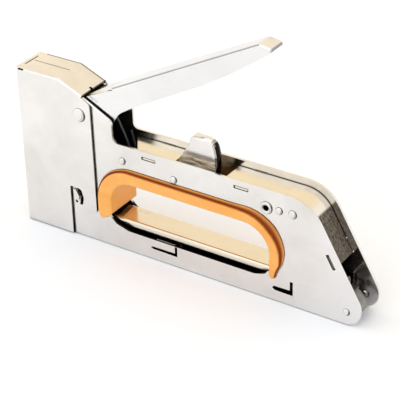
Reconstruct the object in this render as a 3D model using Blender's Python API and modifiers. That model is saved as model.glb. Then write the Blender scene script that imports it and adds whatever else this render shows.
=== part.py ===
"""Hand staple gun of folded, plated steel sheet with a moulded finger grip.

The tool stands on its base with +Z up, its nose at -X, its tail at +X and its left side at -Y.
Outlines are drawn in millimetres as (s, z): s is the distance behind the nose and z the height
above the base. Everything else is worked out from the driving dimensions below.
"""

import math

import bmesh
import bpy
from mathutils import Matrix, Vector

MM = 0.001

# Driving dimensions, in millimetres.
LENGTH = 178.2
BODY_TOP = 54.8
HEAD_TOP = 79.8
HEAD_LENGTH = 41.5
PLATE_THICKNESS = 1.1
PLATE_OUTSIDE = 8.7
PLATE_INSIDE = PLATE_OUTSIDE - PLATE_THICKNESS
COVER_SHEET = 0.8
CLEARANCE = 0.3
COVER_INSIDE = PLATE_OUTSIDE + CLEARANCE
COVER_OUTSIDE = COVER_INSIDE + COVER_SHEET
REAR_EDGE_ANGLE = math.radians(60.8)
TAIL_RADIUS = 7.8
HEAD_SLOPE_START = 23.8
HEAD_SLOPE_END = (36.4, 74.4)

# Finger opening in the plates, and its moulded lining.
OPENING_FLOOR = 10.4
LINING_FRONT = 50.4
LINING_ROOF = 35.8
LINING_REAR_LOW = 133.3
LINING_REAR_HIGH = 134.1
LINING_WEB = 2.2
LINING_OUTSIDE = 10.4
LINING_VALLEY = 9.15
FRONT_RADIUS = 11.6
REAR_RADIUS = 13.0
FRONT_FOOT = 17.9
FRONT_FOOT_DROP = 3.8
FRONT_FOOT_ARCH = 1.5
REAR_FOOT = 13.6
REAR_FOOT_DROP = 1.7
OPENING_FRONT = LINING_FRONT - LINING_WEB
OPENING_ROOF = LINING_ROOF + LINING_WEB
OPENING_REAR = LINING_REAR_HIGH + LINING_WEB

# Along the lining, from the front foot over the roof to the rear foot: how far along,
# the width of the raised ring and the whole width of the flange.
LINING_WIDTHS = (
    (0.00, 6.3, 6.6),
    (0.02, 7.7, 8.1),
    (0.06, 7.7, 8.2),
    (0.14, 7.0, 8.0),
    (0.22, 5.6, 7.4),
    (0.70, 5.3, 7.3),
    (0.83, 4.2, 8.4),
    (0.90, 5.0, 7.5),
    (0.95, 5.0, 6.0),
    (1.00, 2.5, 2.9),
)

# Bridges that tie the two side plates together.
BRIDGE_SHEET = 1.0
BRIDGE_DEPTH = 3.0
BRIDGE_REAR_DEPTH = 3.5
BRIDGE_HALF_WIDTH = PLATE_INSIDE - CLEARANCE
TAB_REACH = PLATE_OUTSIDE - 0.35
TAB_LENGTH = 6.5
TAB_INSET = 0.05
SLOT_PLAY = 0.45
SLOT_FIT = 0.12
FRONT_BRIDGE_NEAR = 64.4
FRONT_BRIDGE_FAR = 54.15
FRONT_BRIDGE_END = 82.0
REAR_BRIDGE_START = 108.5
REAR_BRIDGE_END = 25.8
FRONT_TAB = 71.1
MIDDLE_TAB = 119.1
REAR_TAB_HEIGHT = 28.9

# Lever, its pivot and the parts that it drives.
PIVOT = (34.9, 64.6)
PIVOT_SHAFT = 2.2
LEVER_SHEET = 1.2
LEVER_NOSE = (11.5, 56.8)
LEVER_NOSE_RADIUS = 2.2
LEVER_HALF_AT_NOSE = 7.2
LEVER_HALF_AT_TIP = 5.0
LEVER_TIP = 134.0
LEVER_WEB_START = 33.0
LEVER_TOP_POINT = (51.0, 80.75)
LEVER_SLOPE = 0.5174

PLUNGER_FRONT = 3.4
PLUNGER_REAR = 16.4
PLUNGER_HALF = 5.3
PLUNGER_WALL = 1.2
PLUNGER_FLOOR = 22.0
PLUNGER_TOP = 62.2
SPRING_AXIS = (PLUNGER_FRONT + PLUNGER_REAR) / 2

# Latch that holds the lever down for storage.
LATCH_PIVOT = (84.3, 45.3)
LATCH_HALF = 2.5
LATCH_SHEET = 0.8
LATCH_BEND = 2.2

# Magazine.
MAGAZINE_HALF = 6.3
MAGAZINE_TOP = 14.7
MAGAZINE_SHEET = 0.8
MAGAZINE_FRONT = 3.4
MAGAZINE_REAR = 165.0
RAIL_TOP = 12.6
STAPLE_REAR = 58.0
PUSHER_FRONT = STAPLE_REAR + CLEARANCE
PUSHER_REAR = 70.0
ROD_HEIGHT = 6.6
ROD_RADIUS = 1.2
CATCH_FRONT = 162.5

# Rivets through the body: (s, z).
SPRING_RIVET = (56.8, 46.8)
TUBE_RIVET = (131.8, 45.9)
REAR_RIVETS = ((138.1, 46.2), (144.7, 46.4))
TAIL_STUD = (171.4, 6.4)

# Shafts and wires.
BODY_SHAFT = 1.2
TUBE_SHAFT = 2.0
STUD_SHAFT = 1.0
PIN_PLAY = 0.12
RETURN_TURNS = 3
RETURN_PITCH = 1.25
RETURN_RADIUS = 2.4

ARC_STEPS = 6
TURN_STEPS = 20


# ---------------------------------------------------------------- scene and materials


def clear_scene():
    for obj in list(bpy.data.objects):
        bpy.data.objects.remove(obj, do_unlink=True)


def new_collection(name):
    collection = bpy.data.collections.new(name)
    bpy.context.scene.collection.children.link(collection)
    return collection


def material(name, colour, roughness, metallic):
    made = bpy.data.materials.new(name)
    made.use_nodes = True
    shader = made.node_tree.nodes["Principled BSDF"]
    shader.inputs["Base Color"].default_value = (*colour, 1.0)
    shader.inputs["Roughness"].default_value = roughness
    shader.inputs["Metallic"].default_value = metallic
    return made


def plated_steel(name):
    return material(name, (0.80, 0.78, 0.74), 0.28, 1.0)


def dark_steel(name):
    return material(name, (0.30, 0.29, 0.28), 0.40, 1.0)


def spring_steel(name):
    return material(name, (0.45, 0.45, 0.46), 0.35, 1.0)


def orange_plastic(name):
    return material(name, (0.86, 0.33, 0.05), 0.38, 0.0)


def black_rubber(name):
    return material(name, (0.03, 0.03, 0.03), 0.80, 0.0)


# ---------------------------------------------------------------- geometry helpers


def place(s, y, z):
    """The point s behind the nose, y to the right and z above the base, in metres."""
    return Vector(((s - LENGTH / 2) * MM, y * MM, z * MM))


def rounded(corners, closed=True, steps=ARC_STEPS):
    """The outline through corners (s, z) or (s, z, radius), with an arc at each radius."""
    points = []
    count = len(corners)
    for index, corner in enumerate(corners):
        radius = corner[2] if len(corner) > 2 else 0.0
        at_end = not closed and index in (0, count - 1)
        here = Vector(corner[:2])
        if radius == 0.0 or at_end:
            points.append(here)
            continue
        before = (Vector(corners[index - 1][:2]) - here).normalized()
        after = (Vector(corners[(index + 1) % count][:2]) - here).normalized()
        half = before.angle(after) / 2
        centre = here + (before + after).normalized() * (radius / math.sin(half))
        first = here + before * (radius / math.tan(half)) - centre
        last = here + after * (radius / math.tan(half)) - centre
        turn = first.angle_signed(last)
        for step in range(steps + 1):
            points.append(centre + Matrix.Rotation(-turn * step / steps, 2) @ first)
    return points


def circle(centre, radius, steps=TURN_STEPS):
    turns = [2 * math.pi * step / steps for step in range(steps)]
    return [Vector(centre) + radius * Vector((math.cos(a), math.sin(a))) for a in turns]


def box_outline(low_s, low_z, high_s, high_z):
    return [Vector(p) for p in ((low_s, low_z), (high_s, low_z), (high_s, high_z), (low_s, high_z))]


def ribbon(path, thickness):
    """The closed outline of a sheet whose outer face follows the path and whose body lies right of it."""
    inner = []
    for index, here in enumerate(path):
        before = path[max(index - 1, 0)]
        after = path[min(index + 1, len(path) - 1)]
        along = (after - before).normalized()
        inner.append(here + thickness * Vector((along.y, -along.x)))
    return path + inner[::-1]


def flat_curve(name, outlines, half_thickness):
    """A filled 2D curve in millimetres that holds the outlines, holes included, with thickness."""
    curve = bpy.data.curves.new(name, "CURVE")
    curve.dimensions = "2D"
    curve.fill_mode = "BOTH"
    curve.extrude = half_thickness * MM
    for outline in outlines:
        spline = curve.splines.new("POLY")
        spline.points.add(len(outline) - 1)
        spline.use_cyclic_u = True
        for point, position in zip(spline.points, outline):
            point.co = (position[0] * MM, position[1] * MM, 0.0, 1.0)
    return bpy.data.objects.new(name, curve)


def as_mesh(obj):
    """Turns an object with a curve into one with a welded mesh in the same place."""
    name = obj.name
    bpy.context.scene.collection.objects.link(obj)
    bpy.context.view_layer.update()
    evaluated = obj.evaluated_get(bpy.context.evaluated_depsgraph_get())
    mesh = bpy.data.meshes.new_from_object(evaluated)
    matrix = obj.matrix_world.copy()
    bpy.data.objects.remove(obj, do_unlink=True)
    work = bmesh.new()
    work.from_mesh(mesh)
    bmesh.ops.remove_doubles(work, verts=work.verts, dist=1e-6)
    bmesh.ops.dissolve_limit(
        work, angle_limit=math.radians(0.1), verts=work.verts, edges=work.edges
    )
    bmesh.ops.recalc_face_normals(work, faces=work.faces)
    work.to_mesh(mesh)
    work.free()
    made = bpy.data.objects.new(name, mesh)
    made.matrix_world = matrix
    return made


def side_solid(name, outlines, low_y, high_y):
    """A sheet or block whose outline is seen from the side, between two values of y."""
    obj = flat_curve(name, outlines, (high_y - low_y) / 2)
    obj.rotation_euler = (math.pi / 2, 0.0, 0.0)
    obj.location = (-LENGTH / 2 * MM, (low_y + high_y) / 2 * MM, 0.0)
    return as_mesh(obj)


def long_solid(name, outlines, low_s, high_s):
    """A rail whose cross-section (y, z) is seen from behind, between two values of s."""
    obj = flat_curve(name, outlines, (high_s - low_s) / 2)
    obj.rotation_euler = (math.pi / 2, 0.0, math.pi / 2)
    obj.location = place((low_s + high_s) / 2, 0.0, 0.0)
    return as_mesh(obj)


def plan_solid(name, outline, low_z, high_z):
    """A flat strip whose outline (s, y) is seen from above, between two heights."""
    obj = flat_curve(name, [outline], (high_z - low_z) / 2)
    obj.location = place(0.0, 0.0, (low_z + high_z) / 2)
    return as_mesh(obj)


def block(name, low, high):
    """A box between two corners, each (s, y, z)."""
    mesh = bpy.data.meshes.new(name)
    work = bmesh.new()
    bmesh.ops.create_cube(work, size=1.0)
    size = [(b - a) * MM for a, b in zip(low, high)]
    bmesh.ops.scale(work, vec=size, verts=work.verts)
    work.to_mesh(mesh)
    work.free()
    obj = bpy.data.objects.new(name, mesh)
    obj.location = place(*((a + b) / 2 for a, b in zip(low, high)))
    return obj


def turned(name, profile, centre, closed_profile=False):
    """A turned piece: (radius, height) from top to bottom, its axis along Y through (s, y, z)."""
    mesh = bpy.data.meshes.new(name)
    work = bmesh.new()
    ring = [work.verts.new((radius * MM, 0.0, height * MM)) for radius, height in profile]
    pairs = list(zip(ring, ring[1:]))
    if closed_profile:
        pairs.append((ring[-1], ring[0]))
    for pair in pairs:
        work.edges.new(pair)
    work.to_mesh(mesh)
    work.free()
    obj = bpy.data.objects.new(name, mesh)
    obj.rotation_euler = (math.pi / 2, 0.0, 0.0)
    obj.location = place(*centre)
    screw = obj.modifiers.new("turn", "SCREW")
    screw.steps = TURN_STEPS
    screw.render_steps = TURN_STEPS
    screw.use_merge_vertices = True
    screw.merge_threshold = 0.00001
    return obj


def wire(name, path, radius):
    """A round wire through the points, which are already in metres."""
    curve = bpy.data.curves.new(name, "CURVE")
    curve.dimensions = "3D"
    curve.bevel_depth = radius * MM
    curve.bevel_resolution = 2
    curve.use_fill_caps = True
    spline = curve.splines.new("POLY")
    spline.points.add(len(path) - 1)
    for point, position in zip(spline.points, path):
        point.co = (*position, 1.0)
    return bpy.data.objects.new(name, curve)


def loft(name, sections):
    """A closed skin over rings of points in metres that all have the same count."""
    mesh = bpy.data.meshes.new(name)
    work = bmesh.new()
    rings = [[work.verts.new(position) for position in section] for section in sections]
    count = len(rings[0])
    for near, far in zip(rings, rings[1:]):
        for index in range(count):
            after = (index + 1) % count
            work.faces.new((near[index], near[after], far[after], far[index]))
    work.faces.new(rings[0])
    work.faces.new(rings[-1])
    bmesh.ops.recalc_face_normals(work, faces=work.faces)
    work.to_mesh(mesh)
    work.free()
    return bpy.data.objects.new(name, mesh)


def round_edges(obj, radius, wanted, segments=2):
    """Rounds the edges whose two ends both satisfy wanted(s, y, z), in millimetres."""
    matrix = obj.matrix_basis
    work = bmesh.new()
    work.from_mesh(obj.data)
    chosen = []
    for edge in work.edges:
        ends = [matrix @ vertex.co for vertex in edge.verts]
        ends = [(p.x / MM + LENGTH / 2, p.y / MM, p.z / MM) for p in ends]
        if wanted(*ends[0]) and wanted(*ends[1]) and ends[0][1] * ends[1][1] > 0:
            chosen.append(edge)
    bmesh.ops.bevel(
        work, geom=chosen, offset=radius * MM, segments=segments, profile=0.5, affect="EDGES"
    )
    work.to_mesh(obj.data)
    work.free()


def cut(obj, cutter, operation="DIFFERENCE"):
    """Cuts the cutter out of the object, or joins it on, and keeps the cutter as a guide."""
    cutter.hide_render = True
    cutter.display_type = "WIRE"
    if cutter.name not in CUTTERS.objects:
        CUTTERS.objects.link(cutter)
    boolean = obj.modifiers.new(cutter.name, "BOOLEAN")
    boolean.operation = operation
    boolean.object = cutter
    boolean.solver = "EXACT"
    return obj


def cut_together(obj, cutters):
    """Cuts all of the cutters out of the object in one step."""
    group = bpy.data.collections.new(obj.name + "_cutters")
    CUTTERS.children.link(group)
    for cutter in cutters:
        cutter.hide_render = True
        cutter.display_type = "WIRE"
        group.objects.link(cutter)
    boolean = obj.modifiers.new(group.name, "BOOLEAN")
    boolean.operation = "DIFFERENCE"
    boolean.operand_type = "COLLECTION"
    boolean.collection = group
    boolean.solver = "EXACT"
    return obj


def finish(obj, look, smooth_angle=30.0):
    """Gives the piece its material and smooth shading, and puts it with the parts."""
    if obj.data.materials:
        obj.data.materials[0] = look
    else:
        obj.data.materials.append(look)
    if obj.type == "MESH":
        obj.data.shade_smooth()
        obj.data.set_sharp_from_angle(angle=math.radians(smooth_angle))
    PARTS.objects.link(obj)
    return obj


# ---------------------------------------------------------------- outlines shared by pieces


def rear_edge_point(height, depth=0.0):
    """The s of the body's sloping rear edge at a height, or of a line that deep inside it."""
    normal = Vector((math.sin(REAR_EDGE_ANGLE), math.cos(REAR_EDGE_ANGLE)))
    tail_centre = Vector((LENGTH - TAIL_RADIUS, TAIL_RADIUS))
    reach = normal.dot(tail_centre) + TAIL_RADIUS - depth
    return (reach - normal.y * height) / normal.x


def plate_outline():
    return rounded(
        [
            (1.3, 0.0),
            (LENGTH - TAIL_RADIUS + 0.001, 0.0),
            (LENGTH, 0.0, TAIL_RADIUS - 0.01),
            (LENGTH, 10.3, 9.0),
            (rear_edge_point(BODY_TOP), BODY_TOP, 18.0),
            (51.8, BODY_TOP, 2.8),
            (51.7, 65.0, 2.6),
            (36.2, 73.1),
            (23.4, 78.5),
            (1.3, 78.5),
        ]
    )


def opening_outline():
    """The opening in each plate, with a step under each foot of the lining."""
    return rounded(
        [
            (OPENING_FRONT, 15.7),
            (51.6, 12.4, 3.0),
            (58.5, OPENING_FLOOR, 8.0),
            (125.5, OPENING_FLOOR, 6.0),
            (131.0, 12.0, 3.0),
            (132.3, 14.0),
            (OPENING_REAR, 14.0),
            (OPENING_REAR, OPENING_ROOF, REAR_RADIUS + LINING_WEB),
            (OPENING_FRONT, OPENING_ROOF, FRONT_RADIUS + LINING_WEB),
        ],
        steps=8,
    )


def lining_path():
    """The inner face of the finger lining, foot to foot over the top of the opening."""
    return rounded(
        [
            (LINING_FRONT, FRONT_FOOT),
            (LINING_FRONT, LINING_ROOF, FRONT_RADIUS),
            (LINING_REAR_HIGH, LINING_ROOF, REAR_RADIUS),
            (LINING_REAR_LOW, REAR_FOOT),
        ],
        closed=False,
        steps=10,
    )


def rear_bridge_path():
    top = BODY_TOP - BRIDGE_DEPTH
    return rounded(
        [
            (REAR_BRIDGE_START, top),
            (rear_edge_point(top, BRIDGE_REAR_DEPTH), top, 14.5),
            (rear_edge_point(REAR_BRIDGE_END, BRIDGE_REAR_DEPTH), REAR_BRIDGE_END),
        ],
        closed=False,
        steps=8,
    )


def rear_tab_outline(play):
    """The tab near the foot of the rear bridge, or its slot when there is play."""
    middle = Vector((rear_edge_point(REAR_TAB_HEIGHT, BRIDGE_REAR_DEPTH), REAR_TAB_HEIGHT))
    along = Vector((math.cos(REAR_EDGE_ANGLE), -math.sin(REAR_EDGE_ANGLE)))
    inwards = Vector((along.y, -along.x))
    reach = TAB_LENGTH / 2 + play
    corners = []
    under = BRIDGE_SHEET + min(play, SLOT_FIT)
    for side, depth in ((-1, -play), (1, -play), (1, under), (-1, under)):
        corners.append(middle + along * (side * reach) + inwards * depth)
    return corners


def flat_tab_outline(middle, play):
    top = BODY_TOP - BRIDGE_DEPTH
    reach = TAB_LENGTH / 2 + play
    under = top - BRIDGE_SHEET - min(play, SLOT_FIT)
    return box_outline(middle - reach, under, middle + reach, top + play)


def lanced_slot(front, rear, low, high, leg, bar):
    """An L-shaped cut under and behind a tab pressed inwards from the plate."""
    return [
        Vector(p)
        for p in (
            (front, low + bar * 0.45),
            (front + 1.4, low + bar * 0.1),
            (rear, low),
            (rear, high),
            (rear - leg, high),
            (rear - leg, low + bar),
            (front + 2.6, low + bar * 0.92),
            (front + 0.9, low + bar * 0.95),
        )
    ]


def crescent_outline():
    """The curved cut behind the hook at the foot of the head."""
    return rounded(
        [
            (29.8, 25.0),
            (32.2, 24.6, 1.2),
            (33.5, 20.5, 4.0),
            (32.7, 16.6),
            (31.1, 16.6),
            (31.7, 20.5, 4.0),
            (30.2, 23.4),
        ],
        steps=3,
    )


# ---------------------------------------------------------------- body pieces


def side_plate(name, side):
    """One flat side of the body, with the finger opening, the tab slots and the rivet holes."""
    holes = [
        opening_outline(),
        lanced_slot(70.5, 84.9, 5.2, 10.2, 1.3, 1.6),
        lanced_slot(134.6, 145.0, 5.2, 12.2, 1.5, 2.5),
        crescent_outline(),
        circle((29.3, 17.6), 0.7, 8),
        circle(PIVOT, PIVOT_SHAFT + CLEARANCE),
        circle(TUBE_RIVET, TUBE_SHAFT + CLEARANCE, 16),
        circle(TAIL_STUD, STUD_SHAFT + CLEARANCE, 12),
    ]
    holes += [circle(at, BODY_SHAFT + CLEARANCE, 12) for at in (SPRING_RIVET, LATCH_PIVOT, *REAR_RIVETS)]
    near, far = sorted((side * PLATE_INSIDE, side * PLATE_OUTSIDE))
    plate = side_solid(name, [plate_outline(), *holes], near, far)
    tongue_y = sorted((side * (MAGAZINE_HALF + CLEARANCE), side * (PLATE_INSIDE + 0.4)))
    tongue = block(name + "_tongue", (73.4, tongue_y[0], 9.9), (83.3, tongue_y[1], 10.9))
    cut(plate, tongue, "UNION")
    hook_y = sorted((side * (PLATE_OUTSIDE - 0.4), side * (PLATE_OUTSIDE + 0.7)))
    hook = side_solid(name + "_hook", [hook_outline()], *hook_y)
    cut(plate, hook, "UNION")
    slots = (
        ("_front_slot", flat_tab_outline(FRONT_TAB, SLOT_PLAY)),
        ("_middle_slot", flat_tab_outline(MIDDLE_TAB, SLOT_PLAY)),
        ("_rear_slot", rear_tab_outline(SLOT_PLAY)),
    )
    wide = sorted((side * (PLATE_INSIDE - 0.5), side * (PLATE_OUTSIDE + 0.5)))
    cut_together(plate, [side_solid(name + word, [outline], *wide) for word, outline in slots])
    return finish(plate, plated_steel(name))


def hook_outline():
    """The small raised hook that the foot of the head cover closes over."""
    corners = [(28.2, 24.3), (28.2, 18.9), (31.0, 18.9, 0.8), (31.3, 21.2, 1.0), (29.6, 24.3, 0.8)]
    return rounded(corners, steps=2)


def head_cover_outline():
    return rounded(
        [
            (0.0, 0.0),
            (26.9, 0.0),
            (26.9, 25.9, 0.6),
            (33.0, 25.9, 2.6),
            (35.0, 20.4, 4.0),
            (34.0, 15.2, 0.8),
            (HEAD_LENGTH, 15.2, 1.8),
            (HEAD_LENGTH - 0.5, 70.4, 2.6),
            (HEAD_SLOPE_END[0], 73.3),
            HEAD_SLOPE_END,
            (HEAD_SLOPE_START, HEAD_TOP),
            (0.0, HEAD_TOP),
        ],
        steps=4,
    )


def head_cover():
    """The folded sheet around the head: front, two sides and a top that slopes to the lever."""
    cover = side_solid("head_cover", [head_cover_outline()], -COVER_OUTSIDE, COVER_OUTSIDE)
    round_edges(cover, 1.5, on_head_bend, segments=3)
    inside = side_solid("head_hollow", [head_hollow_outline()], -COVER_INSIDE, COVER_INSIDE)
    round_edges(inside, 0.7, on_hollow_bend)
    cut_together(cover, [inside, *head_cuts()])
    return finish(cover, plated_steel("head_cover"))


def on_head_bend(s, _y, z):
    return s < 0.01 or (z > HEAD_SLOPE_END[1] - 0.01 and s < HEAD_SLOPE_END[0] + 0.01)


def on_hollow_bend(s, _y, z):
    return s < COVER_SHEET + 0.01 and z < HEAD_TOP


def head_hollow_outline():
    """The space inside the cover. It runs out past the open rear and base."""
    fall = (HEAD_TOP - HEAD_SLOPE_END[1]) / (HEAD_SLOPE_END[0] - HEAD_SLOPE_START)
    start = HEAD_SLOPE_START - 0.15
    end = HEAD_SLOPE_END[0] - 0.1
    roof = HEAD_TOP - COVER_SHEET
    outline = [
        (COVER_SHEET, -2.0),
        (60.0, -2.0),
        (60.0, 90.0),
        (end, 90.0),
        (end, roof - fall * (end - start)),
        (start, roof),
        (COVER_SHEET, roof),
    ]
    return [Vector(p) for p in outline]


def head_cuts():
    """Seams between the folded flaps, the corner reliefs, the rear notch and the pivot holes."""
    skin_low = HEAD_TOP - 2 * COVER_SHEET
    skin_high = HEAD_TOP + 1.0
    relief_top = HEAD_TOP - 0.3
    relief_low = HEAD_TOP - 0.95
    side_wall = COVER_OUTSIDE - 1.1
    beyond = COVER_OUTSIDE + 1.0
    return [
        block("top_seam", (3.4, 0.15, skin_low), (23.4, 0.55, skin_high)),
        block("front_slit", (1.7, -4.9, skin_low), (2.3, 4.7, skin_high)),
        block("rear_notch", (35.2, -1.9, 70.0), (40.0, -0.4, 80.0)),
        block("left_corner_relief", (1.3, -beyond, relief_low), (4.3, -side_wall, relief_top)),
        block("right_corner_relief", (1.9, side_wall + 0.2, relief_low), (4.5, beyond, skin_high)),
        side_solid("right_seam", [right_seam_outline()], COVER_INSIDE - 1.0, COVER_INSIDE - 0.45),
        pivot_drill("cover_pivot_hole", PIVOT, PIVOT_SHAFT + CLEARANCE, COVER_OUTSIDE + 2.0),
    ]


def right_seam_outline():
    """The open seam where the folded top meets the right side, down to the end of the slope."""
    deep = 2 * COVER_SHEET
    outline = [
        (4.3, HEAD_TOP - deep),
        (HEAD_SLOPE_START - 0.3, HEAD_TOP - deep),
        (HEAD_SLOPE_END[0] + 0.6, HEAD_SLOPE_END[1] - deep),
        (HEAD_SLOPE_END[0] + 0.6, HEAD_TOP + 1.0),
        (4.3, HEAD_TOP + 1.0),
    ]
    return [Vector(p) for p in outline]


def pivot_drill(name, centre, radius, half_length):
    return side_solid(name, [circle(centre, radius)], -half_length, half_length)


def finger_grip():
    """The moulded lining that wraps the edges of the finger opening in both plates."""
    path = subdivide_ends(lining_path(), 3.0)
    lengths = [(b - a).length for a, b in zip(path, path[1:])]
    sections = []
    for index, here in enumerate(path):
        before = path[max(index - 1, 0)]
        after = path[min(index + 1, len(path) - 1)]
        along = (after - before).normalized()
        outwards = Vector((-along.y, along.x))
        ring, reach = lining_widths(sum(lengths[:index]) / sum(lengths))
        section = []
        for depth, y in lining_section(ring, reach):
            at = here + outwards * depth
            at.y -= foot_drop(index, len(path) - 1) * (1.0 - (1.0 - min(depth / reach, 1.0)) ** 2)
            if index == 0:
                at.y += FRONT_FOOT_ARCH * max(0.0, 1.0 - (y / LINING_OUTSIDE) ** 2)
            section.append(place(at.x, y, at.y))
        sections.append(section)
    grip = loft("finger_grip", sections)
    above_magazine = MAGAZINE_TOP + CLEARANCE + 0.1
    cut(grip, block("rear_foot_clearance", (130.0, -8.8, 8.0), (138.5, 8.8, above_magazine)))
    return finish(grip, orange_plastic("finger_grip"), 40.0)


def foot_drop(index, last):
    """How much lower the outer edge of a section near an end is than its inner edge."""
    return {0: FRONT_FOOT_DROP, 1: FRONT_FOOT_DROP, last: REAR_FOOT_DROP}.get(index, 0.0)


def subdivide_ends(path, spacing):
    """The path with extra points along its straight stretches."""
    dense = [path[0]]
    for here, there in zip(path, path[1:]):
        pieces = max(1, round((there - here).length / spacing))
        dense += [here.lerp(there, step / pieces) for step in range(1, pieces + 1)]
    return dense


def lining_widths(share):
    """The width of the raised ring and of the whole flange at a share of the lining's length."""
    for low, high in zip(LINING_WIDTHS, LINING_WIDTHS[1:]):
        if share <= high[0] + 0.0001:
            between = (share - low[0]) / (high[0] - low[0])
            return [a + (b - a) * between for a, b in zip(low[1:], high[1:])]
    return LINING_WIDTHS[-1][1:]


def lining_section(ring, reach):
    """(depth, y) round the section: a raised ring, a valley, a thin lip, and slots for the plates."""
    slot = PLATE_OUTSIDE + 0.15
    lip = reach - ring
    half = [
        (0.0, 0.0),
        (0.0, 6.5),
        (0.0, 8.9),
        (0.12, 9.5),
        (0.45, 10.0),
        (1.05, 10.3),
        (1.7, LINING_OUTSIDE),
        (ring - 0.75, LINING_OUTSIDE),
        (ring - 0.3, LINING_OUTSIDE - 0.1),
        (ring - 0.08, LINING_OUTSIDE - 0.35),
        (ring, LINING_VALLEY + 0.1),
        (ring + 0.12 * lip, LINING_VALLEY),
        (ring + 0.40 * lip, LINING_VALLEY + 0.06),
        (ring + 0.75 * lip, LINING_VALLEY + 0.28),
        (ring + 0.93 * lip, LINING_VALLEY + 0.30),
        (reach, slot + 0.1),
        (reach, slot),
        (LINING_WEB - CLEARANCE, slot),
        (LINING_WEB - CLEARANCE, PLATE_INSIDE - 0.2),
        (LINING_WEB + 0.6, PLATE_INSIDE - 0.4),
        (LINING_WEB + 0.6, 0.0),
    ]
    mirrored = [(depth, -y) for depth, y in half[-2:0:-1]]
    return half + mirrored


def front_bridge():
    """The short strip that ties the plates together ahead of the latch. Its front end is cut aslant."""
    top = BODY_TOP - BRIDGE_DEPTH
    outline = [
        (FRONT_BRIDGE_NEAR, -BRIDGE_HALF_WIDTH),
        (FRONT_BRIDGE_END, -BRIDGE_HALF_WIDTH),
        (FRONT_BRIDGE_END, BRIDGE_HALF_WIDTH),
        (FRONT_BRIDGE_FAR, BRIDGE_HALF_WIDTH),
    ]
    bridge = plan_solid("front_bridge", outline, top - BRIDGE_SHEET, top)
    tabs = side_solid("front_bridge_tabs", [flat_tab_outline(FRONT_TAB, -TAB_INSET)], -TAB_REACH, TAB_REACH)
    cut(bridge, tabs, "UNION")
    return finish(bridge, plated_steel("front_bridge"))


def rear_bridge():
    """The long strip behind the latch, which bends down the tool's sloping back."""
    path = rear_bridge_path()
    bridge = side_solid(
        "rear_bridge", [ribbon(path, BRIDGE_SHEET)], -BRIDGE_HALF_WIDTH, BRIDGE_HALF_WIDTH
    )
    for name, outline in (
        ("middle_bridge_tabs", flat_tab_outline(MIDDLE_TAB, -TAB_INSET)),
        ("rear_bridge_tabs", rear_tab_outline(-TAB_INSET)),
    ):
        cut(bridge, side_solid(name, [outline], -TAB_REACH, TAB_REACH), "UNION")
    return finish(bridge, plated_steel("rear_bridge"))


# ---------------------------------------------------------------- fasteners


def rivet_profile(head_radius, shaft_radius, head_start, head_height):
    """A rivet through the body from head to head, top to bottom."""
    top = head_start + head_height
    half = [
        (0.0, top),
        (head_radius * 0.55, top - head_height * 0.12),
        (head_radius * 0.88, top - head_height * 0.45),
        (head_radius, head_start + head_height * 0.15),
        (head_radius, head_start),
        (shaft_radius, head_start),
    ]
    return half + [(radius, -height) for radius, height in half[::-1]]


def body_rivet(name, at, head_radius=1.75, shaft_radius=BODY_SHAFT):
    profile = rivet_profile(head_radius, shaft_radius, PLATE_OUTSIDE + 0.15, 0.65)
    return finish(turned(name, profile, (at[0], 0.0, at[1])), plated_steel(name))


def lever_pivot_rivet():
    profile = rivet_profile(3.3, PIVOT_SHAFT, COVER_OUTSIDE + 0.1, 0.85)
    pin = turned("lever_pivot_rivet", profile, (PIVOT[0], 0.0, PIVOT[1]))
    return finish(pin, plated_steel("lever_pivot_rivet"))


def rear_tube_rivet():
    """A hollow rivet whose rolled rims show as dark-centred rings on both sides."""
    rim_start = PLATE_OUTSIDE + 0.15
    rim_top = rim_start + 0.6
    outer = [(TUBE_SHAFT, rim_top), (2.8, rim_top - 0.2), (3.0, rim_start), (TUBE_SHAFT, rim_start)]
    down = outer + [(radius, -height) for radius, height in outer[::-1]]
    up = [(1.4, -rim_top + 0.3), (1.4, rim_top - 0.3)]
    centre = (TUBE_RIVET[0], 0.0, TUBE_RIVET[1])
    tube = turned("rear_tube_rivet", down + up, centre, closed_profile=True)
    return finish(tube, plated_steel("rear_tube_rivet"))


def tail_stud(name, side):
    """A short stud in the tail of one plate, headed inside and outside."""
    outside = PLATE_OUTSIDE + 0.15
    inside = PLATE_INSIDE - 0.15
    profile = [
        (0.0, outside + 0.55),
        (1.1, outside + 0.45),
        (1.65, outside),
        (STUD_SHAFT, outside),
        (STUD_SHAFT, inside),
        (2.0, inside),
        (1.8, inside - 0.9),
        (0.0, inside - 1.1),
    ]
    stud = turned(name, profile, (TAIL_STUD[0], 0.0, TAIL_STUD[1]))
    if side > 0:
        stud.rotation_euler = (-math.pi / 2, 0.0, 0.0)
    return finish(stud, plated_steel(name))


# ---------------------------------------------------------------- lever and striking parts


def lever_half_width(s):
    share = (s - LEVER_NOSE[0]) / (LEVER_TIP - LEVER_NOSE[0])
    return LEVER_HALF_AT_NOSE + share * (LEVER_HALF_AT_TIP - LEVER_HALF_AT_NOSE)


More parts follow.
